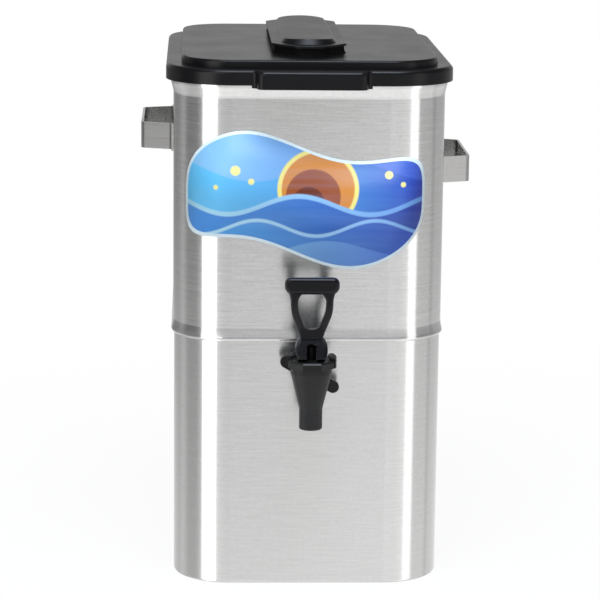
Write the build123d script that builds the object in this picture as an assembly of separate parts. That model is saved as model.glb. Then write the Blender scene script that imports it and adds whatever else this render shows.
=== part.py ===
from build123d import *
import math
import os

# Iced tea dispenser: a tall stainless tank on an open stainless skirt, with a black
# moulded lid, a hinged brew-through cover, two strap handles and a self-closing faucet.
# Millimetres. +Z is up, the faucet is at -Y, and the origin is on the counter at the
# middle of the skirt's foot.

# Body: plan of the tank's outer face, and heights
body_width = 226.0
body_depth = 324.6
body_corner = 48.2
skirt_height = 209.3
tank_height = 223.6

# Shared fits, and how far a cutter runs past what it cuts
thread_fit = 0.02
pin_seat = 0.01
cut_past = 5.0

# Sheet metal
shell_wall = 1.0
skirt_wall = 1.0
pan_wall = 0.8

# Seam bead between tank and skirt
bead_out = 1.5
bead_nose_height = 1.6
bead_foot_round = 0.8
bead_crown_height = 3.4
bead_crown_in = 0.3
bead_waist_height = 6.5
bead_waist_out = 0.45
bead_flare = 4.2
bead_lip = 0.8
bead_fold = 1.4
seam_fit = 0.05
seat_clear = 0.4
skirt_inset = 0.8
skirt_tuck = 3.4

# Rolled rim of the tank
rim_flare_out = 2.1
rim_flare_start = 22.0
rim_flare_height = 11.0
rim_roll_out = 3.1
rim_roll_height = 3.4
rim_edge = 0.6

# Foot hem of the skirt
hem_width = 10.0
hem_bend = 2.0

# Drawn bottom of the tank
pan_gap = 0.3
pan_depth = 46.5
pan_rise = 12.0
pan_bend = 5.0
pan_lip = 0.8

# Lid
lid_wall = 2.5
lid_overhang = 6.2
lid_skirt = 12.7
lid_ledge = 12.9
lid_step = 6.5
lid_round = 2.2
lid_rim_round = 3.8
lid_rib = 1.6
lid_rib_depth = 8.5
lid_rib_gap = 0.7
tab_width = 90.0
tab_reach = 11.0
tab_drop = 2.3
tab_corner = 6.5
tab_root = 4.0

# Brew-through cover and the collar under it
cover_width = 62.2
cover_end_gap = 30.0
nose_length = 27.6
nose_radius = 22.0
cover_wall = 1.8
cover_overhang = 1.8
cover_edge = 0.5
panel_rise = 4.3
panel_margin = 7.7
panel_end_margin = 15.2
panel_slope = 3.7
panel_wall = 2.2
crown_radius = 220.0
collar_height = 6.4
collar_wall = 2.6
insert_flange = 1.4
insert_flange_thick = 0.7
insert_fit = 0.15
snap_lip = 0.9
snap_height = 2.4
plug_rib = 1.5
plug_depth = 3.0
plug_gap = 1.1

# Cover hinge
cover_pin_radius = 1.5
cover_pin_setback = 6.5
cover_pin_height = 4.7
hinge_fit = 0.06
knuckle_radius = 3.2
knuckle_width = 16.0
knuckle_side_gap = 0.3
tongue_root = 3.0
tongue_fall = 1.0
tongue_share = 0.8
ear_width = 4.5

# Strap handles
strap_height = 22.2
strap_thick = 2.0
strap_bend = 4.5
handle_reach = 28.0
handle_grip = 97.0
handle_root = 116.0
handle_pad = 11.0
handle_centre_y = -8.5
left_handle_drop = 54.9
right_handle_drop = 82.6

# Outlet through the pan and the skirt
outlet_drop = 24.3
nipple_radius = 10.9
nipple_bore = 6.0
nipple_flange = 13.0
nipple_flange_thick = 2.0
nipple_front = 16.7
nipple_fit = 0.3
seal_thick = 1.2
seal_fit = 0.05
jam_nut_across = 30.0
jam_nut_thick = 4.5

# Faucet body
faucet_reach = 43.5
spout_radius = 9.5
spout_bore = 6.2
spout_drop = 39.0
spout_straight = 17.0
spout_edge = 0.7
head_radius = 16.9
head_straight = 4.5
head_height = 12.8
seat_drop = 18.5
seat_width = 1.6
socket_radius = 12.4
tail_radius = 8.4
tail_bore = 5.5
tail_collar_radius = 10.5
tail_collar_thick = 2.4
gasket_thick = 1.6

# Wing nut
wing_nut_radius = 13.6
wing_nut_shoulder = 2.6
wing_nut_back = 9.5
wing_nut_fit = 0.2
wing_length = 27.0
wing_width = 10.0
wing_thick = 4.6
wing_angle = -28.5

# Bonnet
bonnet_radius = 18.4
bonnet_sides = 8
bonnet_height = 6.2
bonnet_chamfer = 1.2
bonnet_plug_radius = 12.25
bonnet_plug_depth = 6.4
bonnet_plug_bore = 8.6
bonnet_spring_seat = 3.0
lug_rise = 3.6
lug_out = 2.2
lug_thick = 5.2
lug_round = 2.2
lug_sweep = 46.0
lug_angles = (4.0, 150.0)

# Stem, spring and seat cup
stem_radius = 4.0
stem_fit = 0.1
stem_collar_radius = 7.4
stem_collar_thick = 1.5
stem_collar_height = 3.3
stem_barb_radius = 2.6
stem_barb_length = 5.5
stem_dome = 4.6
cup_radius = 7.3
cup_top_radius = 4.8
cup_height = 9.0
cup_gap = 0.1
cup_hollow = 2.0
cup_lip = 1.2
cup_lip_slope = 1.5
cup_skirt = 2.5
barb_fit = 0.02
spring_wire = 0.9
spring_mid_radius = 5.6
spring_turns = 5
spring_end_gap = 0.15

# Faucet handle: pivot, cam feet and cheeks
pivot_height = 8.0
pivot_radius = 2.0
pivot_fit = 0.06
pivot_press = 0.02
pin_half = 12.4
cam_lift = 6.66
cam_rest_gap = 0.03
handle_swing = 35.0
cam_margin = 4.0
cam_steps = 6
toe_step_out = 0.4
toe_step_up = 2.2
heel_reach = 6.5
heel_edge = 1.5
heel_top = 1.0
slot_half = 4.25
slot_top = 6.2
cheek_half = 12.9
cheek_level = -1.0
foot_half = 9.6
neck_half = 9.8
neck_top = 10.0
neck_front = 3.6
neck_back = 3.2
cheek_front_round = 2.0
cheek_back_round = 1.5

# Faucet handle: loop
handle_top = 60.0
handle_lean = 2.5
bar_half = 22.2
bar_height = 13.6
bar_thick = 9.0
bar_round = 3.2
bar_upper_corner = 5.0
bar_lower_corner = 6.6
leg_width = 6.0
leg_thick = 6.4
leg_round = 1.9
leg_root_half = 4.9
leg_root_z = 8.0
leg_low_half = 9.3
leg_low_z = 19.3
leg_mid_half = 12.7
leg_mid_z = 28.1
leg_high_half = 14.3
leg_high_z = 40.0
flare_step = 2.9
flare_widths = (leg_width, 7.0, 9.6, 15.0)
flare_shift = 1.8
loop_base = 17.2
web_crest_half = 9.8
web_crest_z = 23.5
web_bulge_z = 15.8
web_foot_half = 8.6
web_foot_z = 9.4
web_foot_front = 4.9
web_crest_front = 2.8
web_back = 1.8

# Printed skin on the front
decal_thick = 0.12
decal_left_margin = 10.0
decal_right_margin = 18.0
decal_middle_drop = 104.9
decal_half_height = 46.0
decal_wave = 13.0
decal_end = 12.0
decal_calm = 0.6

# Levels and places worked out from the sizes above
bead_z = skirt_height
seam_z = skirt_height + skirt_tuck
rim_z = skirt_height + tank_height
ledge_z = rim_z + lid_wall
plateau_z = ledge_z + lid_step
plateau_under_z = plateau_z - lid_wall
collar_z = plateau_z + collar_height
flange_top_z = collar_z + cover_wall
panel_z = flange_top_z + panel_rise
outlet_z = skirt_height - outlet_drop
skirt_face_y = -(body_depth / 2 - skirt_inset)
pan_out = -(skirt_inset + skirt_wall + pan_gap)
pan_face_y = -(body_depth / 2 + pan_out)
faucet_y = skirt_face_y - faucet_reach
head_z = outlet_z + head_height
bonnet_z = head_z + bonnet_height
pivot_z = bonnet_z + pivot_height
seat_z = outlet_z - seat_drop
cover_tip = body_depth / 2 + lid_overhang - lid_ledge - cover_end_gap
cover_corner = cover_tip - nose_length
decal_left = body_width / 2 - decal_left_margin
decal_right = body_width / 2 - decal_right_margin


def plan(out):
    """Plan of the body, moved outward by out."""
    return RectangleRounded(body_width + 2 * out, body_depth + 2 * out, body_corner + out)


def slab(out, low, high):
    """Upright block on the body's plan, from one level to another."""
    return extrude(Pos(0, 0, low) * plan(out), high - low)


def wall_round_body(section):
    """Sweep a closed section, given in (outward, up), round the body's plan."""
    path = plan(0).face().outer_wire()
    start = path @ 0
    tangent = path % 0
    outward = tangent.cross(Vector(0, 0, 1))
    if outward.dot(start) < 0:
        outward = -outward
    side = Plane(origin=start, x_dir=outward, z_dir=outward.cross(Vector(0, 0, 1)))
    return sweep(side * section, path=path)


def cylinder_y(radius, y0, y1, x=0.0, z=0.0):
    """Cylinder along Y between two stations."""
    circle = Plane(origin=(x, y0, z), x_dir=(1, 0, 0), z_dir=(0, 1, 0)) * Circle(radius)
    return extrude(circle, y1 - y0)


def cylinder_x(radius, x0, x1, y=0.0, z=0.0):
    """Cylinder along X between two stations."""
    circle = Plane(origin=(x0, y, z), x_dir=(0, 1, 0), z_dir=(1, 0, 0)) * Circle(radius)
    return extrude(circle, x1 - x0)


def turned(points, x=0.0, y=0.0, z=0.0):
    """Solid of revolution about a vertical axis, from (radius, height) points."""
    section = make_face(Plane.XZ * Polyline(*points, close=True))
    return Pos(x, y, z) * revolve(section, Axis.Z)


def make_tank_shell():
    """Upper shell: flared seam bead below, flared and rolled rim above."""
    wall = shell_wall
    waist_z = bead_z + bead_waist_height
    flare_top = waist_z + bead_flare
    crown = (bead_out - bead_crown_in, bead_z + bead_crown_height)
    bead_foot = (bead_out - bead_foot_round, bead_z)
    roll_low = (rim_roll_out - rim_edge, rim_z - rim_roll_height)
    roll_high = (rim_roll_out - rim_edge, rim_z)
    rim_low = rim_z - rim_flare_start
    rim_mid = rim_low + rim_flare_height
    roll_in = rim_flare_out - wall
    fold = bead_out - bead_fold
    seat_top = seam_z + pan_lip + seat_clear
    lines = [
        Line((-skirt_inset, bead_z), bead_foot),
        ThreePointArc(bead_foot, (bead_out, bead_z + bead_nose_height), crown),
        Spline(crown, (bead_waist_out, waist_z), (0, flare_top), tangents=[(-0.25, 1), (0, 1)]),
        Line((0, flare_top), (0, rim_low)),
        Spline((0, rim_low), (rim_flare_out, rim_mid), tangents=[(0, 1), (0, 1)]),
        Polyline((rim_flare_out, rim_mid), (rim_flare_out, roll_low[1]), roll_low),
        ThreePointArc(roll_low, (rim_roll_out, rim_z - rim_roll_height / 2), roll_high),
        Polyline(roll_high, (roll_in + rim_edge, rim_z), (roll_in, rim_z - rim_edge), (roll_in, rim_mid)),
        Spline((roll_in, rim_mid), (-wall, rim_low), tangents=[(0, -1), (0, -1)]),
        Line((-wall, rim_low), (-wall, flare_top)),
        Spline((-wall, flare_top), (fold, seat_top), tangents=[(0, -1), (0, -1)]),
        Polyline((fold, seat_top), (fold, bead_z + bead_lip), (-skirt_inset, bead_z + bead_lip),
                 (-skirt_inset, bead_z)),
    ]
    return wall_round_body(make_face(Curve() + lines))


def make_base_skirt():
    """Lower shell with an inward hem as its foot and a hole for the outlet."""
    face = -skirt_inset
    back = face - skirt_wall
    foot = face - hem_bend
    lines = [
        Line((face, seam_z), (face, hem_bend)),
        RadiusArc((face, hem_bend), (foot, 0), hem_bend),
        Polyline((foot, 0), (face - hem_width, 0), (face - hem_width, skirt_wall), (foot, skirt_wall)),
        RadiusArc((foot, skirt_wall), (back, hem_bend), -(hem_bend - skirt_wall)),
        Polyline((back, hem_bend), (back, seam_z), (face, seam_z)),
    ]
    skirt = wall_round_body(make_face(Curve() + lines))
    near = skirt_face_y - cut_past
    hole = cylinder_y(nipple_radius + nipple_fit, near, skirt_face_y + cut_past, z=outlet_z)
    return skirt - hole


def pan_block(inset, floor_lift):
    """Solid block with the pan's sloping floor and rounded bottom edge."""
    out = pan_out - inset
    front_floor = seam_z - pan_depth + floor_lift
    reach = body_depth / 2 + out
    slope = pan_rise / body_depth
    block = slab(out, front_floor - pan_rise, seam_z)
    far = reach + cut_past
    below = front_floor - 2 * pan_rise
    wedge_low = make_face(Plane.YZ * Polyline(
        (-far, below), (far, below), (far, front_floor + slope * (far + reach)),
        (-far, front_floor - slope * cut_past), close=True))
    block -= extrude(wedge_low, body_width, both=True)
    bottom = block.faces().sort_by(Axis.Z)[0]
    return fillet(bottom.edges(), pan_bend - inset)


def make_tank_pan():
    """Drawn bottom of the tank: a tub in the skirt, with a flange on the skirt's edge."""
    flange = slab(bead_out - bead_fold - seam_fit, seam_z, seam_z + pan_lip)
    flange -= slab(pan_out - pan_wall, seam_z - cut_past, seam_z + pan_lip + cut_past)
    pan = pan_block(0, 0) - pan_block(pan_wall, pan_wall) + flange
    hole = cylinder_y(nipple_radius + nipple_fit, pan_face_y - cut_past, pan_face_y + cut_past, z=outlet_z)
    return pan - hole


def make_strap_handle(side, drop):
    """Flat strap bent into a trapezoid loop, with a welded pad at each root."""
    wall = side * (body_width / 2 + strap_thick / 2)
    grip = side * (body_width / 2 + handle_reach - strap_thick / 2)
    middle = rim_z - drop - strap_height / 2
    root = handle_root / 2
    half = handle_grip / 2
    path = FilletPolyline(
        (wall, handle_centre_y - root - handle_pad, middle), (wall, handle_centre_y - root, middle),
        (grip, handle_centre_y - half, middle), (grip, handle_centre_y + half, middle),
        (wall, handle_centre_y + root, middle), (wall, handle_centre_y + root + handle_pad, middle),
        radius=strap_bend)
    start = Plane(origin=path @ 0, x_dir=(1, 0, 0), z_dir=(0, 1, 0))
    return sweep(start * Rectangle(strap_thick, strap_height), path=path)


def brew_plan(inset):
    """Plan of the brew cover, moved inward: long sides, slanted shoulders, round noses."""
    half = cover_width / 2
    centre = cover_tip - nose_radius
    drop = cover_corner - centre
    turn = math.atan2(drop, half) + math.acos(nose_radius / math.hypot(half, drop))
    near_x = nose_radius * math.cos(turn)
    near_y = centre + nose_radius * math.sin(turn)
    lines = []
    for way in (-1, 1):
        corner = (way * half, way * cover_corner)
        near = (way * near_x, way * near_y)
        far = (-way * near_x, way * near_y)
        lines.append(Polyline((way * half, -way * cover_corner), corner, near))
        lines.append(ThreePointArc(near, (0, way * cover_tip), far))
        lines.append(Line(far, (-way * half, way * cover_corner)))
    return offset(make_face(Curve() + lines), amount=-inset, kind=Kind.INTERSECTION)


def brew_block(inset, low, high):
    return extrude(Pos(0, 0, low) * brew_plan(inset), high - low)


def tab_plan():
    """Plan of the finger tab: rounded front corners and hollow roots where it meets the lid."""
    face = -(body_depth / 2 + lid_overhang)
    half = tab_width / 2
    front = face - tab_reach
    inside = face + lid_wall
    corner = half - tab_corner
    root = half + tab_root
    near = math.sqrt(0.5)
    outline = [Polyline((-root, face), (-root, inside), (root, inside), (root, face)),
               Line((corner, front), (-corner, front))]
    for side in (-1, 1):
        hollow = (side * (root - tab_root * near), face - tab_root * (1 - near))
        swell = (side * (corner + tab_corner * near), front + tab_corner * (1 - near))
        outline.append(ThreePointArc((side * root, face), hollow, (side * half, face - tab_root)))
        outline.append(Line((side * half, face - tab_root), (side * half, front + tab_corner)))
        outline.append(ThreePointArc((side * half, front + tab_corner), swell, (side * corner, front)))
    return make_face(Curve() + outline)


def make_lid():
    """Moulded lid: skirt, ledge, raised plateau, finger tab, locating rib and hinge ears."""
    low = ledge_z - lid_skirt
    rim = extrude(Pos(0, 0, low) * (plan(lid_overhang) + tab_plan()), lid_skirt)
    lid = fillet(rim.faces().sort_by(Axis.Z)[-1].edges(), lid_rim_round)
    lip = tab_plan() - plan(lid_overhang - lid_wall)
    lid += extrude(Pos(0, 0, low - tab_drop) * lip, tab_drop + lid_wall)
    plateau = slab(lid_overhang - lid_ledge, ledge_z - lid_wall, plateau_z)
    plateau = fillet(plateau.faces().sort_by(Axis.Z)[-1].edges(), lid_round)
    lid += plateau
    lid -= slab(lid_overhang - lid_wall, low - cut_past, rim_z)
    lid -= slab(lid_overhang - lid_ledge - lid_wall, low - cut_past, plateau_under_z)
    rib_face = rim_flare_out - shell_wall - lid_rib_gap
    rib = slab(rib_face, rim_z - lid_rib_depth, rim_z)
    rib -= slab(rib_face - lid_rib, rim_z - lid_rib_depth, rim_z)
    lid += rib
    lid -= brew_block(cover_overhang + collar_wall, plateau_under_z - cut_past, plateau_z + cut_past)
    return lid + hinge_ears()


def hinge_place():
    """Axis of the cover's hinge, as (y, z)."""
    return cover_tip + cover_pin_setback, plateau_z + cover_pin_height


def hinge_ears():
    """Two upright ears on the plateau, each bored for the pin."""
    pin_y, pin_z = hinge_place()
    inner = knuckle_width / 2 + knuckle_side_gap
    ears = Part()
    for side in (-1, 1):
        middle = side * (inner + ear_width / 2)
        post = Pos(middle, pin_y, (plateau_under_z + pin_z) / 2) * Box(
            ear_width, 2 * knuckle_radius, pin_z - plateau_under_z)
        eye = cylinder_x(knuckle_radius, middle - ear_width / 2, middle + ear_width / 2, pin_y, pin_z)
        ears += post + eye
    far = inner + ear_width
    return ears - cylinder_x(cover_pin_radius + pin_seat, -far, far, pin_y, pin_z)


def make_cover_pin():
    pin_y, pin_z = hinge_place()
    far = knuckle_width / 2 + knuckle_side_gap + ear_width
    return cylinder_x(cover_pin_radius, -far, far, pin_y, pin_z)


def make_brew_insert():
    """Collar that snaps into the lid round the brew-through opening."""
    outer = cover_overhang
    inner = cover_overhang + collar_wall + insert_fit
    bore = inner + collar_wall
    insert = brew_block(outer, plateau_z, collar_z)
    insert += brew_block(outer - insert_flange, plateau_z, plateau_z + insert_flange_thick)
    insert += brew_block(inner, plateau_under_z - snap_height, plateau_z)
    insert += brew_block(inner - snap_lip, plateau_under_z - snap_height, plateau_under_z - insert_fit)
    return insert - brew_block(bore, plateau_under_z - snap_height - cut_past, collar_z + cut_past)


def crowned_panel(inset, low, high):
    """Raised panel of the cover: round ends, sloping walls and a top that is crowned across."""
    half = cover_width / 2 - panel_margin - inset
    tip = cover_tip - panel_end_margin - inset
    foot = SlotOverall(2 * tip, 2 * half, rotation=90)
    crest = SlotOverall(2 * (tip - panel_slope), 2 * (half - panel_slope), rotation=90)
    panel = loft([Pos(0, 0, low) * foot, Pos(0, 0, high) * crest])
    return panel & cylinder_y(crown_radius, -tip, tip, z=high - crown_radius)


def make_brew_cover():
    """Cover with a crowned panel, a plug rib below and a hinge knuckle."""
    pin_y, pin_z = hinge_place()
    plate = brew_block(0, collar_z, flange_top_z)
    plate = fillet(plate.faces().sort_by(Axis.Z)[-1].edges(), cover_edge)
    panel = crowned_panel(0, flange_top_z, panel_z)
    hollow = crowned_panel(panel_wall, collar_z, panel_z - cover_wall)
    rib_out = cover_overhang + 2 * collar_wall + insert_fit + plug_gap
    rib = brew_block(rib_out, collar_z - plug_depth, collar_z)
    rib -= brew_block(rib_out + plug_rib, collar_z - plug_depth - cut_past, collar_z + cut_past)
    cover = plate + panel - hollow + rib
    half = knuckle_width / 2
    root = cover_tip - tongue_root
    cheek = knuckle_radius * tongue_share
    tongue = make_face(Plane.YZ * Polyline(
        (root, collar_z), (root, flange_top_z), (pin_y, flange_top_z - tongue_fall),
        (pin_y + cheek, pin_z), (pin_y - cheek, pin_z), (pin_y - cheek, collar_z), close=True))
    cover += extrude(tongue, half, both=True)
    cover += cylinder_x(knuckle_radius, -half, half, pin_y, pin_z)
    return cover - cylinder_x(cover_pin_radius + hinge_fit, -half - cut_past, half + cut_past, pin_y, pin_z)


def make_tank_nipple():
    """Flanged stainless nipple, from inside the pan out through the skirt."""
    front = skirt_face_y - nipple_front
    seat = pan_face_y + pan_wall + seal_thick
    flange = cylinder_y(nipple_flange, seat, seat + nipple_flange_thick, z=outlet_z)
    tube = cylinder_y(nipple_radius, front, seat, z=outlet_z)
    bore = cylinder_y(nipple_bore, front - cut_past, seat + nipple_flange_thick + cut_past, z=outlet_z)
    return flange + tube - bore


def make_nipple_seal():
    inside = pan_face_y + pan_wall
    ring = cylinder_y(nipple_flange, inside, inside + seal_thick, z=outlet_z)
    return ring - cylinder_y(nipple_radius + seal_fit, inside - cut_past, inside + cut_past, z=outlet_z)


def make_jam_nut():
    """Thin hexagon nut on the outside of the skirt."""
    face = Plane(origin=(0, skirt_face_y, outlet_z), x_dir=(1, 0, 0), z_dir=(0, -1, 0))
    nut = extrude(face * RegularPolygon(jam_nut_across / 2, 6, major_radius=False), jam_nut_thick)
    far = skirt_face_y - jam_nut_thick - cut_past
    return nut - cylinder_y(nipple_radius + thread_fit, far, skirt_face_y + cut_past, z=outlet_z)


def tail_end_y():
    """Rear face of the faucet's tail, against the gasket."""
    return skirt_face_y - nipple_front - gasket_thick


def make_coupling_gasket():
    back = skirt_face_y - nipple_front
    ring = cylinder_y(tail_collar_radius, back - gasket_thick, back, z=outlet_z)
    return ring - cylinder_y(nipple_bore, back - cut_past, back + cut_past, z=outlet_z)


def make_wing_nut():
    """Coupling nut: it holds the tail's collar and screws on the nipple by two wings."""
    collar_front = tail_end_y() - tail_collar_thick
    front = collar_front - wing_nut_fit - wing_nut_shoulder
    back = skirt_face_y - nipple_front + wing_nut_back
    nut = cylinder_y(wing_nut_radius, front, back, z=outlet_z)
    middle = (front + back) / 2
    turn = math.radians(wing_angle)
    face = Plane(origin=(0, middle, outlet_z), x_dir=(math.cos(turn), 0, math.sin(turn)), z_dir=(0, -1, 0))
    wings = extrude(face * SlotOverall(2 * wing_length, wing_width), wing_thick / 2, both=True)
    nut += wings
    nut -= cylinder_y(tail_radius + wing_nut_fit, front - cut_past, back + cut_past, z=outlet_z)
    seat = front + wing_nut_shoulder
    return nut - cylinder_y(nipple_radius + thread_fit, seat, back + cut_past, z=outlet_z)


def make_faucet_body():
    """Tapered body with a straight spout, a valve seat, a threaded head and a side tail."""
    top = head_z - outlet_z
    shoulder = top - head_straight
    straight = spout_straight - spout_drop
    slope = (head_radius - spout_radius) / (shoulder - straight)
    seat = -seat_drop
    seat_radius = spout_bore + seat_width
    inner_slope_top = seat + (socket_radius - seat_radius) / slope
    above = top + cut_past
    below = -spout_drop - cut_past
    outside = turned([(0, -spout_drop), (spout_radius - spout_edge, -spout_drop),
                      (spout_radius, spout_edge - spout_drop), (spout_radius, straight),
                      (head_radius, shoulder), (head_radius, top), (0, top)])
    inside = turned([(0, below), (spout_bore, below), (spout_bore, seat), (seat_radius, seat),
                     (socket_radius, inner_slope_top), (socket_radius, above), (0, above)])
    end = tail_end_y() - faucet_y
    tail = cylinder_y(tail_radius, 0, end) + cylinder_y(tail_collar_radius, end - tail_collar_thick, end)
    body = outside + tail - inside - cylinder_y(tail_bore, 0, end + cut_past)
    return Pos(0, faucet_y, outlet_z) * body


def upright(radius, low, high):
    """Cylinder about the faucet's own axis."""
    return extrude(Pos(0, 0, low) * Circle(radius), high - low)


def make_faucet_bonnet():
    """Screwed cap: octagonal ring with two finger lugs, a plug below and the stem's bore."""
    ring = RegularPolygon(bonnet_radius, bonnet_sides, rotation=180 / bonnet_sides, major_radius=False)
    cap = extrude(ring, bonnet_height)
    cap = chamfer(cap.faces().sort_by(Axis.Z)[-1].edges(), bonnet_chamfer)
    lug_radius = bonnet_radius + lug_out
    lug_top = bonnet_height + lug_rise
    face = Plane.XZ * Pos(lug_radius - lug_thick / 2, lug_top / 2) * Rectangle(lug_thick, lug_top)
    lug = revolve(face, Axis.Z, lug_sweep)
    lug = fillet(lug.faces().sort_by(Axis.Z)[-1].edges(), lug_round)
    for angle in lug_angles:
        cap += Rot(0, 0, angle - lug_sweep / 2) * lug
    cap += upright(bonnet_plug_radius, -bonnet_plug_depth, 0)
    cap -= upright(bonnet_plug_bore, -bonnet_plug_depth - cut_past, bonnet_spring_seat)
    cap -= upright(stem_radius + stem_fit, 0, lug_top)
    return Pos(0, faucet_y, head_z) * cap


def collar_levels():
    """Lower and upper face of the stem's collar."""
    low = outlet_z + stem_collar_height
    return low, low + stem_collar_thick


def make_faucet_stem():
    """Round stem: barb for the cup, collar for the spring and a domed eye for the pin."""
    low, high = collar_levels()
    cup_top = seat_z + cup_gap + cup_height
    barb = cup_top - stem_barb_length
    shoulder = pivot_z + math.sqrt(stem_dome ** 2 - stem_radius ** 2)
    bulge = stem_dome / math.sqrt(2)
    outline = [
        Polyline((0, barb), (stem_barb_radius, barb), (stem_barb_radius, cup_top), (stem_radius, cup_top),
                 (stem_radius, low), (stem_collar_radius, low), (stem_collar_radius, high),
                 (stem_radius, high), (stem_radius, shoulder)),
        ThreePointArc((stem_radius, shoulder), (bulge, pivot_z + bulge), (0, pivot_z + stem_dome)),
        Line((0, pivot_z + stem_dome), (0, barb)),
    ]
    rod = revolve(Plane.XZ * make_face(Curve() + outline), Axis.Z)
    rod -= cylinder_x(pivot_radius + pivot_press, -pin_half, pin_half, z=pivot_z)
    return Pos(0, faucet_y, 0) * rod


def make_seat_cup():
    """Soft valve cup pushed on the stem's barb, with a hollow underside."""
    low = seat_z + cup_gap
    cup_top = low + cup_height
    barb = cup_top - stem_barb_length
    rim = cup_radius - cup_lip
    roof = low + cup_hollow
    socket = stem_barb_radius + barb_fit
    floor = barb - barb_fit
    cup = turned([(0, roof), (rim - cup_lip_slope, roof), (rim, low), (cup_radius, low),
                  (cup_radius, low + cup_skirt), (cup_top_radius, cup_top), (socket, cup_top),
                  (socket, floor), (0, floor)])
    return Pos(0, faucet_y, 0) * cup


def make_stem_spring():
    """Helical spring between the stem's collar and the bonnet."""
    _, low = collar_levels()
    high = head_z + bonnet_spring_seat
    length = high - low - spring_wire - 2 * spring_end_gap
    path = Helix(pitch=length / spring_turns, height=length, radius=spring_mid_radius)
    section = Plane(origin=path @ 0, z_dir=path % 0) * Circle(spring_wire / 2)
    coil = sweep(section, path=path, is_frenet=True)
    return Pos(0, faucet_y, low + spring_wire / 2 + spring_end_gap) * coil


def make_handle_pin():
    pin = cylinder_x(pivot_radius, -pin_half, pin_half, z=pivot_z)
    return Pos(0, faucet_y, 0) * pin


def cam_point(angle):
    """Point of the cam foot that touches the bonnet when the handle has turned by angle."""
    reach = pivot_height - cam_rest_gap + cam_lift * angle
    return (-reach * math.sin(angle) - cam_lift * math.cos(angle),
            -reach * math.cos(angle) + cam_lift * math.sin(angle))


def handle_bar():
    """Grip bar of the handle, with rounded corners and edges."""
    face = Rectangle(2 * bar_half, bar_height)
    face = fillet(face.vertices().sort_by(Axis.Y)[-2:], bar_upper_corner)
    face = fillet(face.vertices().sort_by(Axis.Y)[:2], bar_lower_corner)
    bar = extrude(Plane.XZ * face, bar_thick / 2, both=True)
    ends = bar.faces().sort_by(Axis.Y)
    bar = fillet(ends[0].edges() + ends[-1].edges(), bar_round)
    return Pos(0, -handle_lean, handle_top - bar_height / 2) * bar


def handle_leg(side):
    """One leg of the loop, swept from the neck up with a rounded section."""
    path = Spline(
        (side * leg_root_half, 0, leg_root_z),
        (side * leg_low_half, -handle_lean / 4, leg_low_z),
        (side * leg_mid_half, -handle_lean * 2 / 3, leg_mid_z),
        (side * leg_high_half, -handle_lean, leg_high_z),
        tangents=[(side, 0, 2), (0, 0, 1)])
    start = Plane(origin=path @ 0, x_dir=(0, 1, 0), z_dir=path % 0)
    return sweep(start * RectangleRounded(leg_thick, leg_width, leg_round), path=path)


def handle_flare(side):
    """Upper end of a leg, where it widens into the bar."""
    last = len(flare_widths) - 1
    sections = []
    for step, width in enumerate(flare_widths):
        middle = leg_high_half - flare_shift * (step / last) ** 2
        place = Pos(side * middle, -handle_lean, leg_high_z + flare_step * step)
        sections.append(place * RectangleRounded(width, leg_thick, leg_round))
    return loft(sections)


def handle_web():
    """Web under the loop: its front face leans back, and its upper edge is hollow."""
    crest = (web_crest_half, web_crest_z)
    far_crest = (-web_crest_half, web_crest_z)
    outline = [
        Polyline(crest, (web_crest_half, web_bulge_z), (web_foot_half, web_foot_z),
                 (-web_foot_half, web_foot_z), (-web_crest_half, web_bulge_z), far_crest),
        ThreePointArc(far_crest, (0, loop_base), crest),
    ]
    front = extrude(Plane.XZ * make_face(Curve() + outline), web_foot_front, both=True)
    side = make_face(Plane.YZ * Polyline(
        (-web_foot_front, web_foot_z), (-web_crest_front, web_crest_z), (web_back, web_crest_z),
        (web_back, web_foot_z), close=True))
    return front & extrude(side, web_crest_half, both=True)


def yoke_side():
    """Side view of the yoke in (y, z) about the pivot: flat heel and involute toe."""
    last = math.radians(handle_swing + cam_margin)
    toe = [cam_point(last * step / cam_steps) for step in range(cam_steps + 1)]
    tip = toe[-1]
    foot = cam_rest_gap - pivot_height
    lines = [
        Line((heel_reach - heel_edge, foot), toe[0]),
        Spline(*toe),
        Polyline(tip, (tip[0] + toe_step_out, tip[1] + toe_step_up), (-neck_front, neck_top),
                 (neck_back, neck_top), (heel_reach, heel_top), (heel_reach, foot + heel_edge),
                 (heel_reach - heel_edge, foot)),
    ]
    return make_face(Curve() + lines)


def yoke_front():
    """Front view of the yoke in (x, z): two bowed cheeks under a narrow neck."""
    foot = -pivot_height
    lines = []
    for side in (-1, 1):
        lines.append(ThreePointArc((side * foot_half, foot), (side * cheek_half, cheek_level),
                                   (side * neck_half, neck_top)))
    lines.append(Line((-foot_half, foot), (foot_half, foot)))
    lines.append(Line((-neck_half, neck_top), (neck_half, neck_top)))
    return make_face(Curve() + lines)


def make_faucet_handle():
    """Loop handle on a yoke whose involute feet lift the stem evenly as it is pulled."""
    deep = 3 * heel_reach
    yoke = extrude(Plane.YZ * yoke_side(), 2 * cheek_half, both=True)
    yoke &= extrude(Plane.XZ * yoke_front(), deep, both=True)
    outer = yoke.edges().filter_by(GeomType.ELLIPSE).sort_by(SortBy.LENGTH)
    yoke = fillet(outer[-2:], cheek_front_round)
    back = yoke.edges().filter_by(GeomType.ELLIPSE).filter_by(lambda edge: edge.center().Y > neck_back)
    yoke = fillet(back.sort_by(SortBy.LENGTH)[-2:], cheek_back_round)
    handle = handle_bar() + handle_web() + yoke
    for side in (-1, 1):
        handle += handle_leg(side) + handle_flare(side)
    handle -= Pos(0, 0, slot_top / 2 - pivot_height) * Box(
        2 * slot_half, 2 * deep, slot_top + 2 * pivot_height)
    handle -= cylinder_x(pivot_radius + pivot_fit, -bar_half, bar_half)
    return Pos(0, faucet_y, pivot_z) * handle


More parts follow.
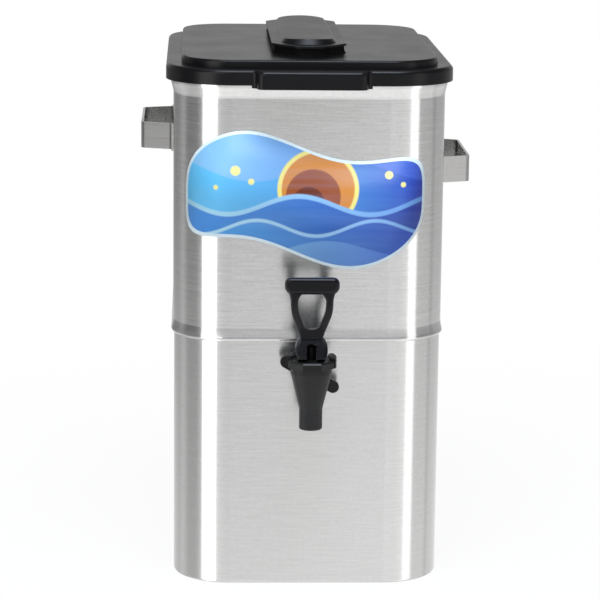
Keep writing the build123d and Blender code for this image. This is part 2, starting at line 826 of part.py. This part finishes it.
def make_front_decal():
    """Thin printed skin that follows the front of the tank and its corners."""
    middle = rim_z - decal_middle_drop
    low = middle - decal_half_height
    high = middle + decal_half_height
    wave = decal_wave
    calm = decal_wave * decal_calm
    left_x = decal_end - decal_left
    right_x = decal_right - decal_end
    bend_left = -decal_left / 2
    bend_right = decal_right / 3
    top_left = (left_x, high - wave)
    top_right = (right_x, high + calm)
    foot_right = (right_x, low + wave)
    foot_left = (left_x, low - calm)
    rising = (1, 1)
    easing = (1, decal_calm)
    lines = [
        Spline(top_left, (bend_left, high + wave), (bend_right, high - wave), top_right,
               tangents=[rising, easing]),
        Spline(top_right, (decal_right, middle), foot_right, tangents=[easing, (-1, -1)]),
        Spline(foot_right, (bend_right, low - wave), (bend_left, low + wave), foot_left,
               tangents=[(-1, -1), (-1, -decal_calm)]),
        Spline(foot_left, (-decal_left, middle), top_left, tangents=[(-1, -decal_calm), rising]),
    ]
    print_area = extrude(Plane.XZ * make_face(Curve() + lines), body_depth)
    tall = 4 * wave
    skin = slab(decal_thick, low - tall, high + tall) - slab(0, low - tall - cut_past, high + tall + cut_past)
    return skin & print_area


def main():
    os.makedirs("parts", exist_ok=True)
    pieces = {
        "tank_shell": make_tank_shell(),
        "base_skirt": make_base_skirt(),
        "tank_pan": make_tank_pan(),
        "left_handle": make_strap_handle(-1, left_handle_drop),
        "right_handle": make_strap_handle(1, right_handle_drop),
        "front_decal": make_front_decal(),
        "tank_nipple": make_tank_nipple(),
        "nipple_seal": make_nipple_seal(),
        "jam_nut": make_jam_nut(),
        "coupling_gasket": make_coupling_gasket(),
        "wing_nut": make_wing_nut(),
        "faucet_body": make_faucet_body(),
        "faucet_bonnet": make_faucet_bonnet(),
        "faucet_stem": make_faucet_stem(),
        "seat_cup": make_seat_cup(),
        "stem_spring": make_stem_spring(),
        "handle_pin": make_handle_pin(),
        "faucet_handle": make_faucet_handle(),
        "lid": make_lid(),
        "brew_insert": make_brew_insert(),
        "cover_pin": make_cover_pin(),
        "brew_cover": make_brew_cover(),
    }
    for name, solid in pieces.items():
        export_step(solid, f"parts/{name}.step")


main()
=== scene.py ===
import math

import bmesh
import bpy
from mathutils import Matrix, Vector


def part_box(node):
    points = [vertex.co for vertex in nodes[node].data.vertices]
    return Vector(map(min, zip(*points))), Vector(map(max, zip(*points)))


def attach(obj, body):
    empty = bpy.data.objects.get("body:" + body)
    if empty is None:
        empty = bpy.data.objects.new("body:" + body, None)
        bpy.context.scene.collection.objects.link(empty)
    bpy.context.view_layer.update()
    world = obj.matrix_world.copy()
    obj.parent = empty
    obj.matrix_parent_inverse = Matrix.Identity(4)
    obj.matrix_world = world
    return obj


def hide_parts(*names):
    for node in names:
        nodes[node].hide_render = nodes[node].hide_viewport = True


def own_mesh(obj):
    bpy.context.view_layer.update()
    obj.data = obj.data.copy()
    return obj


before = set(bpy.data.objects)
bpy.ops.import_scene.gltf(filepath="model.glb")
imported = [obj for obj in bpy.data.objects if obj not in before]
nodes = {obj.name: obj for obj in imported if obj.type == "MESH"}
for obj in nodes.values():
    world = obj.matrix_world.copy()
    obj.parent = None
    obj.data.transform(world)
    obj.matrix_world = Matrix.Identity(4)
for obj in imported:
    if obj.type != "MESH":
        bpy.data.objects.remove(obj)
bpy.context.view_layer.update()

scene = bpy.context.scene
scene.view_settings.view_transform = "Standard"

# Camera, fitted to the outlines of the body and the lid
camera_place = Vector((-0.09527, -2.28035, 0.67524))
camera_pitch = math.radians(11.489)
camera_yaw = math.radians(2.360)
camera_roll = math.radians(0.631)
camera_lens = 157.08
camera_sensor = 36.0

# Plan of the tank, without its rim and bead: front face, radius of the corners, and half the width
decal_low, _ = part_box("front_decal")
front_face = decal_low.y
corner_radius = 0.0482
body_half = 0.113
flat_half = body_half - corner_radius

# Outline of the print: ends along the front, middle level, half height, and the sway of its long sides
print_left = -0.1080
print_right = 0.0965
print_middle = 0.3280
print_half = 0.0455
print_sway = 0.0125
print_turns = 1.08
print_lean = -0.20
print_squareness = 3.6

# Layers of the print: border round the field, lift of each layer off the decal's face, and their mesh
border_width = 0.0026
border_lift = -0.00004
field_lift = 0.00002
print_thick = 0.00006
print_columns = 120
weld_distance = 0.00001

# Colours of the print: a pair is for its left and right ends, and the wash lies over them in streaks
print_ends = (-0.10, 0.09)
sky_colours = ((0.13, 0.60, 0.97), (0.030, 0.060, 0.45))
haze_colours = ((0.28, 0.62, 0.93), (0.05, 0.10, 0.56))
dot_colour = (0.95, 0.86, 0.30)
wash_colour = (0.30, 0.62, 0.95)
wash_most = 0.10

# Colours of the print's border, between which its fine texture varies
border_dark = (0.76, 0.90, 0.95)
border_light = (0.82, 0.95, 0.99)

# Shapes on the print. A wave has a level, height, length and phase, a disc has a middle and a radius
haze_wave = (0.352, 0.009, 0.150, 0.4)
upper_wave = (0.0075, 0.118, 2.1)
middle_wave = (0.0065, 0.098, 4.4)
lower_wave = (0.0060, 0.126, 0.9)
waves = (
    ((0.3255, *upper_wave), ((0.45, 0.80, 0.95), (0.16, 0.36, 0.80))),
    ((0.3215, *upper_wave), ((0.06, 0.30, 0.78), (0.022, 0.040, 0.36))),
    ((0.3060, *middle_wave), ((0.55, 0.86, 0.96), (0.22, 0.45, 0.86))),
    ((0.3030, *middle_wave), ((0.10, 0.42, 0.86), (0.030, 0.060, 0.46))),
    ((0.2880, *lower_wave), ((0.30, 0.66, 0.93), (0.06, 0.14, 0.62))),
)
sun_discs = (
    ((0.006, 0.337), 0.0335, (0.93, 0.80, 0.22)),
    ((0.006, 0.337), 0.0300, (0.70, 0.26, 0.035)),
    ((0.002, 0.331), 0.0225, (0.34, 0.075, 0.010)),
    ((-0.002, 0.326), 0.0130, (0.16, 0.028, 0.006)),
)
dots = (
    ((-0.062, 0.352), 0.0042),
    ((-0.049, 0.343), 0.0026),
    ((0.064, 0.349), 0.0034),
    ((0.076, 0.341), 0.0022),
    ((-0.078, 0.338), 0.0020),
)
edge_blur = 0.0006
dot_blur = 0.0004

# Noise patterns: scales along X, Y and Z, detail, and roughness
sheet_grain = ((30.0, 30.0, 1000.0), 4.0, 0.6)
strap_grain = ((12.0, 12.0, 700.0), 4.0, 0.6)
pan_grain = ((60.0, 60.0, 60.0), 4.0, 0.6)
turned_grain = ((900.0, 60.0, 900.0), 4.0, 0.6)
pin_grain = ((900.0, 900.0, 900.0), 4.0, 0.6)
sheet_waver = ((9.0, 9.0, 2.2), 1.0, 0.4)
strap_waver = ((70.0, 70.0, 6.0), 1.0, 0.4)
steel_speckle = ((420.0, 420.0, 420.0), 2.0, 0.6)
steel_cloud = ((5.0, 5.0, 9.0), 2.0, 0.5)
plastic_cloud = ((28.0, 22.0, 34.0), 3.0, 0.55)
silicone_grain = ((900.0, 900.0, 900.0), 2.0, 0.5)
vinyl_grain = ((700.0, 700.0, 700.0), 2.0, 0.5)
wash_streaks = ((9.0, 9.0, 120.0), 3.0, 0.6)

# Bumps: strength, and depth in metres. A plastic's strength is its own
grain_bump = (0.05, 0.00001)
waver_bump = (1.0, 0.0002)
silicone_bump = (0.1, 0.00005)
vinyl_bump = (0.05, 0.00004)
plastic_depth = 0.00006

# Steel: shares of grain, speckle and cloud in its tone, turn of its brushing, and play of its roughness
grain_share = 0.55
speckle_share = 0.3
cloud_share = 0.15
steel_turn = 0.25
steel_play = (0.012, 0.015)

# Plastic: detail and roughness of its fine texture, and play of its roughness
plastic_detail = 3.0
plastic_roughness = 0.6
plastic_play = (0.02, 0.02)

# Floor: half its side, its colour, and how white the camera sees it up close and from how far off all white
floor_half = 6.0
floor_colour = (0.92, 0.92, 0.92)
floor_near_white = 0.92
floor_near = 0.25
floor_far = 0.85
white = (1.0, 1.0, 1.0)

# Studio that the part reflects: brightness by azimuth in degrees, 0 in front and positive to the right
under_level = 1.0
deep_levels = (
    (-180, 0.9), (-150, 0.7), (-70, 0.7), (-50, 1.45), (0, 1.5), (50, 1.4), (70, 0.9), (140, 0.8),
    (180, 0.9),
)
floor_levels = (
    (-180, 0.95), (-165, 0.92), (-140, 0.84), (-126, 0.84), (-116, 0.98), (-108, 0.98), (-103, 0.88),
    (-98, 0.88), (-94, 0.80), (-72, 0.84), (-66, 1.05), (-57, 1.15), (-27.5, 1.25), (-5, 1.1), (2.5, 1.1),
    (4.0, 1.22), (26, 1.22), (38, 1.3), (48, 1.3), (66, 1.22), (98, 1.17), (104, 0.93), (108, 0.93),
    (114, 1.05), (165, 1.0), (180, 0.95),
)
wall_levels = (
    (-180, 0.9), (-165, 0.38), (-145, 0.24), (-126, 0.26), (-116, 0.38), (-108, 0.38), (-103, 0.22),
    (-100, 0.20), (-96, 0.1), (-72, 0.1), (-66, 0.26), (-57, 0.5), (-29.5, 0.42), (-5, 0.47), (3.2, 0.5),
    (4.0, 0.86), (24, 0.84), (34, 0.92), (46, 1.1), (54, 1.0), (66, 0.52), (98, 0.5), (104, 0.36),
    (108, 0.36), (114, 0.5), (150, 0.52), (165, 0.7), (180, 0.9),
)
high_levels = (
    (-180, 0.7), (-160, 0.6), (-140, 0.45), (-66, 0.4), (-50, 0.8), (-10, 0.85), (30, 0.85), (60, 0.6),
    (80, 0.4), (140, 0.4), (160, 0.6), (180, 0.7),
)
upper_level = 0.15
overhead_level = 1.3

# Elevations in degrees between which each band of the studio fades in over the one below it
deep_fade = (-46, -40)
floor_fade = (-30, -20)
wall_fade = (-15, -10)
high_fade = (1, 6)
upper_fade = (16, 24)
overhead_fade = (55, 70)

# Upright light panels, which only reflections show: their lowest and highest levels
panel_low = -0.20
panel_high = 0.50

# Sockets of a Mix node for each type: first value, second value, and result
mix_sockets = {"FLOAT": (2, 3, 0), "RGBA": (6, 7, 2)}


def node(tree, kind, inputs=None, **settings):
    """A shader node with its settings and the values of its sockets."""
    made = tree.nodes.new(kind)
    for name, value in settings.items():
        setattr(made, name, value)
    for name, value in (inputs or {}).items():
        feed(tree, made.inputs[name], value)
    return made


def feed(tree, socket, value):
    """Give a socket its value: another socket, a colour of three numbers, a number or a vector."""
    if isinstance(value, bpy.types.NodeSocket):
        tree.links.new(value, socket)
    elif socket.type == "RGBA":
        socket.default_value = (*value, 1.0)
    else:
        socket.default_value = value


def maths(tree, operation, *values):
    """Result of a Math node over sockets and numbers."""
    made = node(tree, "ShaderNodeMath", operation=operation)
    for socket, value in zip(made.inputs, values):
        feed(tree, socket, value)
    return made.outputs[0]


def between(tree, share, first, second, kind="RGBA"):
    """A colour, or a number, between two others by a share from 0 to 1."""
    made = node(tree, "ShaderNodeMix", data_type=kind)
    first_place, second_place, result = mix_sockets[kind]
    feed(tree, made.inputs[0], share)
    feed(tree, made.inputs[first_place], first)
    feed(tree, made.inputs[second_place], second)
    return made.outputs[result]


def spread(tree, value, low, high, start=0.3, end=0.7):
    """A value mapped from the range start to end on to the range low to high."""
    ends = {"Value": value, "From Min": start, "From Max": end, "To Min": low, "To Max": high}
    return node(tree, "ShaderNodeMapRange", ends).outputs["Result"]


def own_place(tree):
    """Place on the object, in its own coordinates."""
    return node(tree, "ShaderNodeTexCoord").outputs["Object"]


def parts_of(tree, vector):
    """X, Y and Z of a vector."""
    return node(tree, "ShaderNodeSeparateXYZ", {"Vector": vector}).outputs


def noise(tree, scale, detail, roughness):
    """Noise over the object's own coordinates, with a scale for each axis."""
    place = node(tree, "ShaderNodeMapping", {"Vector": own_place(tree), "Scale": scale}).outputs["Vector"]
    values = {"Vector": place, "Scale": 1.0, "Detail": detail, "Roughness": roughness}
    return node(tree, "ShaderNodeTexNoise", values).outputs["Fac"]


def bumped(tree, shader, height, bump, below=None):
    """A bump of a strength and depth on the shader's normal, over another bump where one is given."""
    strength, depth = bump
    made = node(tree, "ShaderNodeBump", {"Strength": strength, "Distance": depth, "Height": height})
    if below is not None:
        feed(tree, made.inputs["Normal"], below)
    feed(tree, shader.inputs["Normal"], made.outputs["Normal"])
    return made.outputs["Normal"]


def uneven(tree, value, roughness, play):
    """Roughness that follows a value, from a little below its own to a little above."""
    below, above = play
    return spread(tree, value, roughness - below, roughness + above)


def cleared(owner, output):
    """The emptied node tree of a material or world, and the surface socket of its new output."""
    owner.use_nodes = True
    tree = owner.node_tree
    tree.nodes.clear()
    return tree, node(tree, output).inputs["Surface"]


def new_material(name, values):
    """A material with its tree, and its principled shader with the values of its sockets."""
    made = bpy.data.materials.new(name)
    tree, surface = cleared(made, "ShaderNodeOutputMaterial")
    shader = node(tree, "ShaderNodeBsdfPrincipled", values)
    feed(tree, surface, shader.outputs["BSDF"])
    return made, tree, shader


def brushed_steel(name, dark, light, roughness, grain, anisotropy, waver=None):
    """Brushed stainless steel in tones from dark to light. A waver makes the sheet slightly uneven."""
    values = {"Metallic": 1.0, "Anisotropic": anisotropy, "Anisotropic Rotation": steel_turn}
    made, tree, shader = new_material(name, values)
    fine = noise(tree, *grain)
    speckle = maths(tree, "MULTIPLY", noise(tree, *steel_speckle), speckle_share)
    tone = maths(tree, "MULTIPLY_ADD", fine, grain_share, speckle)
    tone = maths(tree, "MULTIPLY_ADD", noise(tree, *steel_cloud), cloud_share, tone)
    share = spread(tree, tone, 0.0, 1.0, start=0.35, end=0.65)
    feed(tree, shader.inputs["Base Color"], between(tree, share, dark, light))
    feed(tree, shader.inputs["Roughness"], uneven(tree, fine, roughness, steel_play))
    tangent = node(tree, "ShaderNodeTangent", direction_type="RADIAL", axis="Z")
    feed(tree, shader.inputs["Tangent"], tangent.outputs["Tangent"])
    below = None
    if waver is not None:
        below = bumped(tree, shader, noise(tree, *waver), waver_bump)
    bumped(tree, shader, fine, grain_bump, below)
    return made


def moulded_plastic(name, dark, light, roughness, specular, grain_size=0.0005, bump=0.1):
    """Moulded plastic with a fine texture, its grain size in metres, and slightly uneven gloss."""
    made, tree, shader = new_material(name, {"Specular IOR Level": specular})
    fine = noise(tree, (1 / grain_size,) * 3, plastic_detail, plastic_roughness)
    cloud = noise(tree, *plastic_cloud)
    feed(tree, shader.inputs["Base Color"], between(tree, spread(tree, cloud, 0.0, 1.0), dark, light))
    feed(tree, shader.inputs["Roughness"], uneven(tree, cloud, roughness, plastic_play))
    bumped(tree, shader, fine, (bump, plastic_depth))
    return made


def silicone(name, dark, light):
    """Soft white silicone."""
    values = {"Roughness": 0.45, "Subsurface Weight": 0.25, "Subsurface Scale": 0.002}
    made, tree, shader = new_material(name, values)
    fine = noise(tree, *silicone_grain)
    feed(tree, shader.inputs["Base Color"], between(tree, fine, dark, light))
    bumped(tree, shader, fine, silicone_bump)
    return made


def vinyl(name):
    """Satin vinyl without its colour: the material, its tree, its shader and its fine texture."""
    made, tree, shader = new_material(name, {"Roughness": 0.42, "Specular IOR Level": 0.35})
    fine = noise(tree, *vinyl_grain)
    bumped(tree, shader, fine, vinyl_bump)
    return made, tree, shader, fine


def border_vinyl():
    """Pale vinyl of the print's border."""
    made, tree, shader, fine = vinyl("print_white")
    feed(tree, shader.inputs["Base Color"], between(tree, fine, border_dark, border_light))
    return made


def field_vinyl():
    """Vinyl of the print's field, with waves, a sun behind them and dots in the sky."""
    made, tree, shader, _ = vinyl("print_colours")
    feed(tree, shader.inputs["Base Color"], print_colour(tree))
    return made


def above_wave(tree, along, up, level, height, length, phase):
    """1 above a wave drawn over the print, 0 below it."""
    turn = maths(tree, "MULTIPLY_ADD", along, 2 * math.pi / length, phase)
    crest = maths(tree, "MULTIPLY_ADD", maths(tree, "SINE", turn), height, level)
    return spread(tree, maths(tree, "SUBTRACT", up, crest), 0.0, 1.0, -edge_blur, edge_blur)


def inside_disc(tree, along, up, middle, radius, blur):
    """1 inside a disc on the print, 0 outside."""
    x = maths(tree, "SUBTRACT", along, middle[0])
    z = maths(tree, "SUBTRACT", up, middle[1])
    squares = maths(tree, "ADD", maths(tree, "MULTIPLY", x, x), maths(tree, "MULTIPLY", z, z))
    return spread(tree, maths(tree, "SQRT", squares), 1.0, 0.0, radius - blur, radius + blur)


def print_colour(tree):
    """Colour of the print's field, painted from the back to the front."""
    along, _, up = parts_of(tree, own_place(tree))
    sweep = spread(tree, along, 0.0, 1.0, *print_ends)
    haze = between(tree, sweep, *haze_colours)
    colour = between(tree, sweep, *sky_colours)
    colour = between(tree, above_wave(tree, along, up, *haze_wave), colour, haze)
    for middle, radius, fill in sun_discs:
        colour = between(tree, inside_disc(tree, along, up, middle, radius, edge_blur), colour, fill)
    for wave, fills in waves:
        water = between(tree, sweep, *fills)
        colour = between(tree, above_wave(tree, along, up, *wave), water, colour)
    for middle, radius in dots:
        colour = between(tree, inside_disc(tree, along, up, middle, radius, dot_blur), colour, dot_colour)
    wash = spread(tree, noise(tree, *wash_streaks), 0.0, wash_most, start=0.35, end=0.70)
    return between(tree, wash, colour, wash_colour)


def dress(material, *names):
    """Give CAD nodes a material."""
    for name in names:
        for place in nodes[name].material_slots:
            place.material = material


def dress_body():
    """Sheet steel of the tank, skirt, pan and straps. Its brushing runs level round the body."""
    shell = brushed_steel("shell_steel", (0.565, 0.565, 0.56), (0.665, 0.665, 0.66), roughness=0.22,
                          grain=sheet_grain, anisotropy=0.85, waver=sheet_waver)
    skirt = brushed_steel("skirt_steel", (0.58, 0.58, 0.575), (0.655, 0.655, 0.65), roughness=0.22,
                          grain=sheet_grain, anisotropy=0.85, waver=sheet_waver)
    pan = brushed_steel("pan_steel", (0.50, 0.50, 0.49), (0.60, 0.60, 0.59), roughness=0.36,
                        grain=pan_grain, anisotropy=0.0)
    strap = brushed_steel("strap_steel", (0.41, 0.405, 0.40), (0.46, 0.455, 0.45), roughness=0.24,
                          grain=strap_grain, anisotropy=0.6, waver=strap_waver)
    dress(shell, "tank_shell")
    dress(skirt, "base_skirt")
    dress(pan, "tank_pan")
    dress(strap, "left_handle", "right_handle")


def dress_lid():
    """Black moulded lid, its cover, and the collar round its opening."""
    lid = moulded_plastic("lid_plastic", (0.003, 0.003, 0.0035), (0.004, 0.004, 0.005),
                          roughness=0.30, specular=0.20, grain_size=0.0006, bump=0.2)
    cover = moulded_plastic("cover_plastic", (0.003, 0.003, 0.0035), (0.004, 0.004, 0.005),
                            roughness=0.32, specular=0.20, grain_size=0.0006, bump=0.2)
    collar = moulded_plastic("insert_plastic", (0.002, 0.002, 0.002), (0.003, 0.003, 0.003),
                             roughness=0.55, specular=0.10, grain_size=0.002, bump=0.05)
    dress(lid, "lid")
    dress(cover, "brew_cover")
    dress(collar, "brew_insert")


def dress_faucet():
    """Plastics of the faucet: a dull body, a satin bonnet and wing nut, and a glossy loop handle."""
    body = moulded_plastic("faucet_plastic", (0.021, 0.0205, 0.0205), (0.027, 0.0265, 0.0265),
                           roughness=0.42, specular=0.16, bump=0.2)
    bonnet = moulded_plastic("bonnet_plastic", (0.005, 0.005, 0.005), (0.008, 0.008, 0.008),
                             roughness=0.36, specular=0.24)
    stem = moulded_plastic("stem_plastic", (0.003, 0.003, 0.003), (0.005, 0.005, 0.005),
                           roughness=0.45, specular=0.10)
    handle = moulded_plastic("handle_plastic", (0.002, 0.002, 0.0035), (0.003, 0.003, 0.005),
                             roughness=0.14, specular=0.24, grain_size=0.0008, bump=0.04)
    dress(body, "faucet_body")
    dress(bonnet, "wing_nut", "faucet_bonnet")
    dress(stem, "faucet_stem")
    dress(handle, "faucet_handle")


def dress_fittings():
    """Turned steel and white silicone of the fittings, the spring and the pins."""
    turned = brushed_steel("turned_steel", (0.55, 0.55, 0.54), (0.66, 0.66, 0.65), roughness=0.28,
                           grain=turned_grain, anisotropy=0.0)
    dark = brushed_steel("dark_steel", (0.05, 0.05, 0.05), (0.09, 0.09, 0.09), roughness=0.40,
                         grain=pin_grain, anisotropy=0.0)
    rubber = silicone("white_silicone", (0.69, 0.6808, 0.644), (0.75, 0.74, 0.70))
    dress(turned, "tank_nipple", "jam_nut", "cover_pin", "stem_spring")
    dress(dark, "handle_pin")
    dress(rubber, "nipple_seal", "coupling_gasket", "seat_cup", "front_decal")
    make_spring(turned)


def placed(name, data):
    """A new object in the scene."""
    made = bpy.data.objects.new(name, data)
    scene.collection.objects.link(made)
    return made


def make_spring(material):
    """The stem's spring, as in the frame: a copy with a mesh of its own, fixed to the dispenser."""
    held = nodes["stem_spring"]
    made = placed("spring_coils", held.data.copy())
    made.matrix_world = held.matrix_world
    made.data.materials.clear()
    made.data.materials.append(material)
    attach(made, "dispenser")
    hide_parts("stem_spring")
    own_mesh(made)


def on_front(along, level, lift):
    """Point on the tank's front, by arc length from its middle, with the corners followed round."""
    straight = min(max(along, -flat_half), flat_half)
    turn = (along - straight) / corner_radius
    reach = corner_radius + lift
    middle_y = front_face + corner_radius
    return (straight + reach * math.sin(turn), middle_y - reach * math.cos(turn), level)


def print_levels(along, inset):
    """Lower and upper level of the print, at a place along it from its middle."""
    half_long = (print_right - print_left) / 2 - inset
    reach = min(abs(along) / half_long, 1.0)
    tall = (print_half - inset) * (1 - reach ** print_squareness) ** (1 / print_squareness)
    turn = -2 * math.pi * along / (print_right - print_left) * print_turns + print_lean
    middle = print_middle + print_sway * math.sin(turn)
    return middle - tall, middle + tall


def make_print_layer(name, inset, lift, material):
    """One layer of the print: narrow upright strips laid on the tank, closer together at both ends."""
    half_long = (print_right - print_left) / 2 - inset
    middle = (print_right + print_left) / 2
    points = []
    for column in range(print_columns + 1):
        along = -half_long * math.cos(math.pi * column / print_columns)
        for level in print_levels(along, inset):
            points.append(on_front(middle + along, level, lift))
    faces = [(2 * c, 2 * c + 2, 2 * c + 3, 2 * c + 1) for c in range(print_columns)]
    mesh = bpy.data.meshes.new(name)
    mesh.from_pydata(points, [], faces)
    weld = bmesh.new()
    weld.from_mesh(mesh)
    bmesh.ops.remove_doubles(weld, verts=weld.verts, dist=weld_distance)
    weld.to_mesh(mesh)
    weld.free()
    mesh.shade_smooth()
    mesh.materials.append(material)
    made = placed(name, mesh)
    thick = made.modifiers.new("thickness", "SOLIDIFY")
    thick.thickness = print_thick
    thick.offset = -1.0
    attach(made, "dispenser")
    return made


def make_print():
    """Print on the front of the tank: a pale border with the coloured field over it."""
    border = make_print_layer("print_border", 0.0, border_lift, border_vinyl())
    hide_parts("front_decal")
    make_print_layer("print_field", border_width, field_lift, field_vinyl())


def make_camera():
    """Camera at the photograph's place and angle."""
    ahead = Vector((math.sin(camera_yaw), math.cos(camera_yaw), 0.0))
    across = Vector((math.cos(camera_yaw), -math.sin(camera_yaw), 0.0))
    over = Vector((0.0, 0.0, 1.0))
    forward = ahead * math.cos(camera_pitch) - over * math.sin(camera_pitch)
    rise = over * math.cos(camera_pitch) + ahead * math.sin(camera_pitch)
    right = across * math.cos(camera_roll) + rise * math.sin(camera_roll)
    up = rise * math.cos(camera_roll) - across * math.sin(camera_roll)
    data = bpy.data.cameras.new("camera")
    data.lens = camera_lens
    data.sensor_width = camera_sensor
    made = placed("camera", data)
    turn = Matrix((right, up, -forward)).transposed().to_4x4()
    made.matrix_world = Matrix.Translation(camera_place) @ turn
    scene.camera = made


def level_around(tree, azimuth, levels):
    """Brightness by azimuth, from pairs of degrees and level."""
    ramp = node(tree, "ShaderNodeFloatCurve", {"Value": azimuth})
    curve = ramp.mapping.curves[0]
    most = max(level for _, level in levels)
    while len(curve.points) < len(levels):
        curve.points.new(0.5, 0.5)
    for point, (degrees, level) in zip(curve.points, levels):
        point.location = ((degrees + 180) / 360, level / most)
        point.handle_type = "VECTOR"
    ramp.mapping.update()
    return maths(tree, "MULTIPLY", ramp.outputs[0], most)


def studio_level(tree, direction):
    """Brightness of the studio in a direction, in bands from straight down to straight up."""
    x, y, z = parts_of(tree, direction)
    turn = maths(tree, "ARCTAN2", x, maths(tree, "MULTIPLY", y, -1.0))
    azimuth = spread(tree, turn, 0.0, 1.0, -math.pi, math.pi)
    bands = (
        (deep_fade, level_around(tree, azimuth, deep_levels)),
        (floor_fade, level_around(tree, azimuth, floor_levels)),
        (wall_fade, level_around(tree, azimuth, wall_levels)),
        (high_fade, level_around(tree, azimuth, high_levels)),
        (upper_fade, upper_level),
        (overhead_fade, overhead_level),
    )
    level = under_level
    for (start, end), above in bands:
        share = spread(tree, z, 0.0, 1.0, math.sin(math.radians(start)), math.sin(math.radians(end)))
        level = between(tree, share, level, above, "FLOAT")
    return level


def ray_is(tree, kind):
    """1 for rays of a kind, such as Is Camera Ray, and 0 for others."""
    return node(tree, "ShaderNodeLightPath").outputs[kind]


def mixed_shaders(tree, share, first, second):
    """A shader between two others."""
    made = node(tree, "ShaderNodeMixShader")
    for socket, value in zip(made.inputs, (share, first, second)):
        feed(tree, socket, value)
    return made.outputs[0]


def make_world():
    """White to the camera. All else sees a plain studio, brighter below and darker at the sides."""
    world = bpy.data.worlds.new("studio")
    scene.world = world
    tree, surface = cleared(world, "ShaderNodeOutputWorld")
    direction = node(tree, "ShaderNodeTexCoord").outputs["Generated"]
    level = studio_level(tree, direction)
    grey = node(tree, "ShaderNodeCombineColor", {"Red": level, "Green": level, "Blue": level})
    around = node(tree, "ShaderNodeBackground", {"Color": grey.outputs["Color"], "Strength": 1.0})
    seen = node(tree, "ShaderNodeBackground", {"Color": white, "Strength": 1.0})
    is_camera = ray_is(tree, "Is Camera Ray")
    feed(tree, surface, mixed_shaders(tree, is_camera, around.outputs[0], seen.outputs[0]))


def make_lamp(name, place, target, size, power, colour=white):
    """Soft rectangular lamp that looks at a target."""
    data = bpy.data.lights.new(name, "AREA")
    data.shape = "RECTANGLE"
    data.size, data.size_y = size
    data.energy = power
    data.color = colour
    made = placed(name, data)
    made.location = place
    made.rotation_euler = (Vector(target) - Vector(place)).to_track_quat("-Z", "Y").to_euler()


def make_stage_sheet(name, corners, material):
    """Flat sheet of four corners that belongs to the stage."""
    mesh = bpy.data.meshes.new(name)
    mesh.from_pydata(corners, [], [(0, 1, 2, 3)])
    mesh.materials.append(material)
    placed(name, mesh)


def floor_material():
    """Matt floor, near white to the camera so that its shadow is soft. Gloss sees the studio through it."""
    made = bpy.data.materials.new("floor")
    tree, surface = cleared(made, "ShaderNodeOutputMaterial")
    matt = node(tree, "ShaderNodeBsdfDiffuse", {"Color": floor_colour})
    glow = node(tree, "ShaderNodeEmission", {"Color": white, "Strength": 1.0})
    clear = node(tree, "ShaderNodeBsdfTransparent")
    reach = node(tree, "ShaderNodeVectorMath", operation="LENGTH")
    feed(tree, reach.inputs[0], own_place(tree))
    whiteness = spread(tree, reach.outputs["Value"], floor_near_white, 1.0, floor_near, floor_far)
    share = maths(tree, "MULTIPLY", ray_is(tree, "Is Camera Ray"), whiteness)
    seen = mixed_shaders(tree, share, matt.outputs[0], glow.outputs[0])
    feed(tree, surface, mixed_shaders(tree, ray_is(tree, "Is Glossy Ray"), seen, clear.outputs[0]))
    return made


def make_floor():
    """Plain pale floor."""
    corners = [(-floor_half, -floor_half, 0), (floor_half, -floor_half, 0),
               (floor_half, floor_half, 0), (-floor_half, floor_half, 0)]
    make_stage_sheet("floor", corners, floor_material())


def panel_material(name, level):
    """White glow of a level to glossy rays. All others pass through."""
    made = bpy.data.materials.new(name)
    made.cycles.emission_sampling = "NONE"
    tree, surface = cleared(made, "ShaderNodeOutputMaterial")
    glow = node(tree, "ShaderNodeEmission", {"Color": white, "Strength": level})
    clear = node(tree, "ShaderNodeBsdfTransparent")
    is_glossy = ray_is(tree, "Is Glossy Ray")
    feed(tree, surface, mixed_shaders(tree, is_glossy, clear.outputs[0], glow.outputs[0]))
    return made


def make_panel(name, corner, degrees, half_angle, distance, level):
    """Upright light panel that a corner of the tank reflects, square to a direction from that corner."""
    azimuth = math.radians(degrees)
    half = distance * math.tan(math.radians(half_angle))
    x = corner[0] + distance * math.sin(azimuth)
    y = corner[1] - distance * math.cos(azimuth)
    side_x = half * math.cos(azimuth)
    side_y = half * math.sin(azimuth)
    corners = [(x - side_x, y - side_y, panel_low), (x + side_x, y + side_y, panel_low),
               (x + side_x, y + side_y, panel_high), (x - side_x, y - side_y, panel_high)]
    make_stage_sheet(name, corners, panel_material(name, level))


def make_studio():
    """World, floor, light panels and lamps."""
    make_world()
    make_floor()
    make_panel("left_panel", corner=(-0.084, -0.158), degrees=-43.5, half_angle=17.6, distance=0.12,
               level=2.7)
    make_panel("right_panel", corner=(0.0865, -0.1571), degrees=53.5, half_angle=10.9, distance=0.12,
               level=1.8)
    make_lamp("top_box", place=(0.0, -0.8, 2.0), target=(0, 0, 0.3), size=(1.2, 0.8), power=32.0,
              colour=(0.78, 0.86, 1.0))
    make_lamp("front_box", place=(-1.2, -2.2, 1.7), target=(0, 0, 0.25), size=(0.9, 0.9), power=10.0)


make_camera()
make_studio()
dress_body()
dress_lid()
dress_faucet()
dress_fittings()
make_print()
